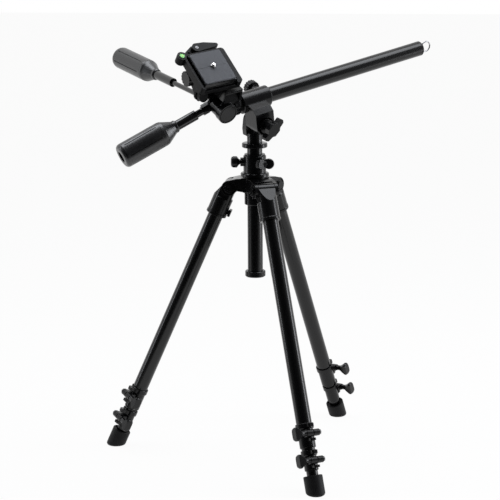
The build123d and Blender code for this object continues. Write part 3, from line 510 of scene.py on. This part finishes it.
# %% Set a piece in place
def settle(name, work, place, body, material, smooth_angle=35):
    """Turns a bmesh in millimetres into a piece that rides on a body."""
    bmesh.ops.remove_doubles(work, verts=work.verts, dist=0.001)
    bmesh.ops.recalc_face_normals(work, faces=work.faces)
    bmesh.ops.transform(work, matrix=place @ Matrix.Scale(MM, 4), verts=work.verts)
    for face in work.faces:
        face.smooth = True
    for edge in work.edges:
        edge.smooth = edge.calc_face_angle(0.0) < radians(smooth_angle)
    mesh = bpy.data.meshes.new(name)
    work.to_mesh(mesh)
    work.free()
    mesh.materials.append(material)
    piece = bpy.data.objects.new(name, mesh)
    bpy.context.scene.collection.objects.link(piece)
    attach(piece, body)
    return piece


# %% [markdown]
# Turned hardware, such as a screw head, a ring or a nut, is a profile spun about
# an axis. With six sides the same helper makes a hexagon nut. The profiles have a
# small chamfer, because real hardware never has a knife edge.


# %% Turned pieces
def spun(work, profile, sides=48):
    """Spins a closed profile of (radius, height) about Z. A radius of 0 lies on the axis."""
    rings = []
    for i in range(sides):
        angle = 2 * pi * i / sides
        rings.append([work.verts.new((r * cos(angle), r * sin(angle), z)) for r, z in profile])
    for one, two in zip(rings, rings[1:] + rings[:1]):
        for k in range(len(profile)):
            after = (k + 1) % len(profile)
            if profile[k][0] == 0 and profile[after][0] == 0:
                continue
            corners = [one[k], one[after], two[after], two[k]]
            if profile[k][0] == 0:
                corners.remove(two[k])
            if profile[after][0] == 0:
                corners.remove(two[after])
            work.faces.new(corners)
    return work


# %% [markdown]
# The release lever turns on a flat-headed screw with a hexagon socket. In the
# picture it is the paler dot beside the pad. It sits in the recess on top of the
# lever, so it rides on the lever.

# %% Lever screw
RECESS_FLOOR = 4.8
LEVER_HEAD = [(1.3, -0.3), (1.3, 1.0), (1.5, 1.2), (2.6, 1.2), (3.0, 0.9), (3.0, -0.3)]
SOCKET_FLOOR = [(0, -0.3), (1.3, -0.3), (1.3, 0.1), (0, 0.1)]
head = spun(bmesh.new(), LEVER_HEAD)
spun(head, SOCKET_FLOOR, sides=6)
lever_place = joint_place("lever_release", DECK_ACROSS, DECK_UP)
settle("lever_screw", head, lever_place @ Matrix.Translation((0, 0, RECESS_FLOOR * MM)),
       "lever", BLACKENED)
print("lever screw at", [round(v, 3) for v in lever_place.translation])

# %% [markdown]
# A camera hangs on a quarter-inch thread. The solid screw is plain, so the ridge
# of the thread is added here: a small blunt wedge that winds up the shank. A helix
# is easiest to write as a loop over its angle, with half a turn at each end run
# out to nearly nothing, as a cut thread does.

# %% Camera screw thread
THREAD_ROOT, THREAD_CREST, THREAD_PITCH = 3.05, 3.5, 1.27
THREAD_LOW, THREAD_HIGH = 0.5, 5.0
ROOT_HALF, CREST_HALF = 0.45, 0.08
STEPS_A_TURN = 36
LEAST_RIDGE = 0.05
thread = bmesh.new()
turns = (THREAD_HIGH - THREAD_LOW) / THREAD_PITCH
count = round(turns * STEPS_A_TURN)
sections = []
for i in range(count + 1):
    angle = 2 * pi * i / STEPS_A_TURN
    z = THREAD_LOW + THREAD_PITCH * i / STEPS_A_TURN
    run_out = min(1, i / (STEPS_A_TURN / 2), (count - i) / (STEPS_A_TURN / 2))
    crest = THREAD_ROOT + (THREAD_CREST - THREAD_ROOT) * max(run_out, LEAST_RIDGE)
    ridge = ((THREAD_ROOT, z - ROOT_HALF), (crest, z - CREST_HALF),
             (crest, z + CREST_HALF), (THREAD_ROOT, z + ROOT_HALF))
    sections.append([thread.verts.new((r * cos(angle), r * sin(angle), h)) for r, h in ridge])
for one, two in zip(sections, sections[1:]):
    for k in range(4):
        after = (k + 1) % 4
        thread.faces.new((one[k], one[after], two[after], two[k]))
thread.faces.new(sections[0])
thread.faces.new(sections[-1])
settle("screw_thread", thread, DECK, "screw", STEEL)
print("thread:", round(turns, 1), "turns")

# %% [markdown]
# The round level is a vial of green liquid with a bubble in it, pressed into the
# corner of the deck. The ring that holds it and the bubble are small turned
# forms. The bubble is drawn at the middle of the vial, where it would rest with
# the deck level, and it doesn't move with the tilt.

# %% Level ring and bubble
VIAL_HALF = 3.1
RING = [(4.4, 0.9), (4.6, 1.2), (5.5, 1.2), (6.0, 0.8), (6.0, -0.1), (5.05, -0.1), (5.05, 0.9)]
BUBBLE_RADIUS, BUBBLE_RISE = 1.9, 0.45
BUBBLE_BASE, BUBBLE_FOOT = 0.78, 0.4
BUBBLE_STEPS = 6
low, high = (Vector(corner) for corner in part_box("level_vial"))
level_place = basis((low + high) / 2, DECK_ACROSS, DECK_UP) @ Matrix.Translation((0, 0, VIAL_HALF * MM))
settle("level_ring", spun(bmesh.new(), RING), level_place, "platform", PLASTIC)
bubble = [(0, BUBBLE_FOOT)]
for i in range(BUBBLE_STEPS + 1):
    angle = pi / 2 * (1 - i / BUBBLE_STEPS)
    bubble.append((BUBBLE_RADIUS * cos(angle), BUBBLE_BASE + BUBBLE_RISE * sin(angle)))
settle("level_bubble", spun(bmesh.new(), bubble), level_place, "platform", BUBBLE_SHINE)
print("level at", [round(v, 3) for v in level_place.translation])

# %% [markdown]
# The long sides of the quick plate are ribbed so that a thumb can lift it out.
# Each rib is a narrow rounded bar that follows the slope of the side. They are
# one mesh, because they are moulded in one piece with the plate.

# %% Plate ribs
RIB_COUNT, RIB_GAP, RIB_HALF, RIB_PROUD, RIB_SUNK = 13, 2.6, 0.55, 0.6, 0.3
SIDE_LOW, SIDE_HIGH = (31.0, -10.0), (29.9, -3.4)
ARC_POINTS = 7
ribs = bmesh.new()
for side in (-1, 1):
    for i in range(RIB_COUNT):
        middle = RIB_GAP * (i - (RIB_COUNT - 1) / 2)
        rings = []
        for x, z in (SIDE_LOW, SIDE_HIGH):
            arc = []
            for k in range(ARC_POINTS):
                angle = pi * k / (ARC_POINTS - 1)
                out_by = x - RIB_SUNK + (RIB_PROUD + RIB_SUNK) * sin(angle)
                arc.append(ribs.verts.new((side * out_by, middle - RIB_HALF * cos(angle), z)))
            rings.append(arc)
        for k in range(ARC_POINTS):
            after = (k + 1) % ARC_POINTS
            ribs.faces.new((rings[0][k], rings[0][after], rings[1][after], rings[1][k]))
        ribs.faces.new(rings[0])
        ribs.faces.new(rings[1])
settle("plate_side_ribs", ribs, DECK, "plate", PLASTIC)
print("ribs:", 2 * RIB_COUNT)

# %% [markdown]
# Each leg clamp is pulled shut by a bolt. The oval knob turns it from one side,
# and on the other side a hexagon nut holds it. The nut is six-sided and spun by
# the same helper, with its corners turned off at both ends.

# %% Clamp nuts
BARREL_LONG = 24.0
NUT = [(0, 0), (4.1, 0), (4.5, 0.4), (4.5, 3.0), (4.1, 3.4), (2.6, 3.4), (2.3, 4.4), (0, 4.4)]
for side in SIDES:
    for level, body in (("upper", f"{side}_leg"), ("lower", f"{side}_middle")):
        joint = JOINTS[f"{side}_{level}_knob_turn"]
        axis = Vector(joint["axis"])
        place = basis(Vector(joint["pos_m"]) - axis * BARREL_LONG * MM, (0, 0, 1), -axis)
        settle(f"{side}_{level}_nut", spun(bmesh.new(), NUT, sides=6), place, body, BLACKENED)
print("clamp nuts:", 2 * len(SIDES))
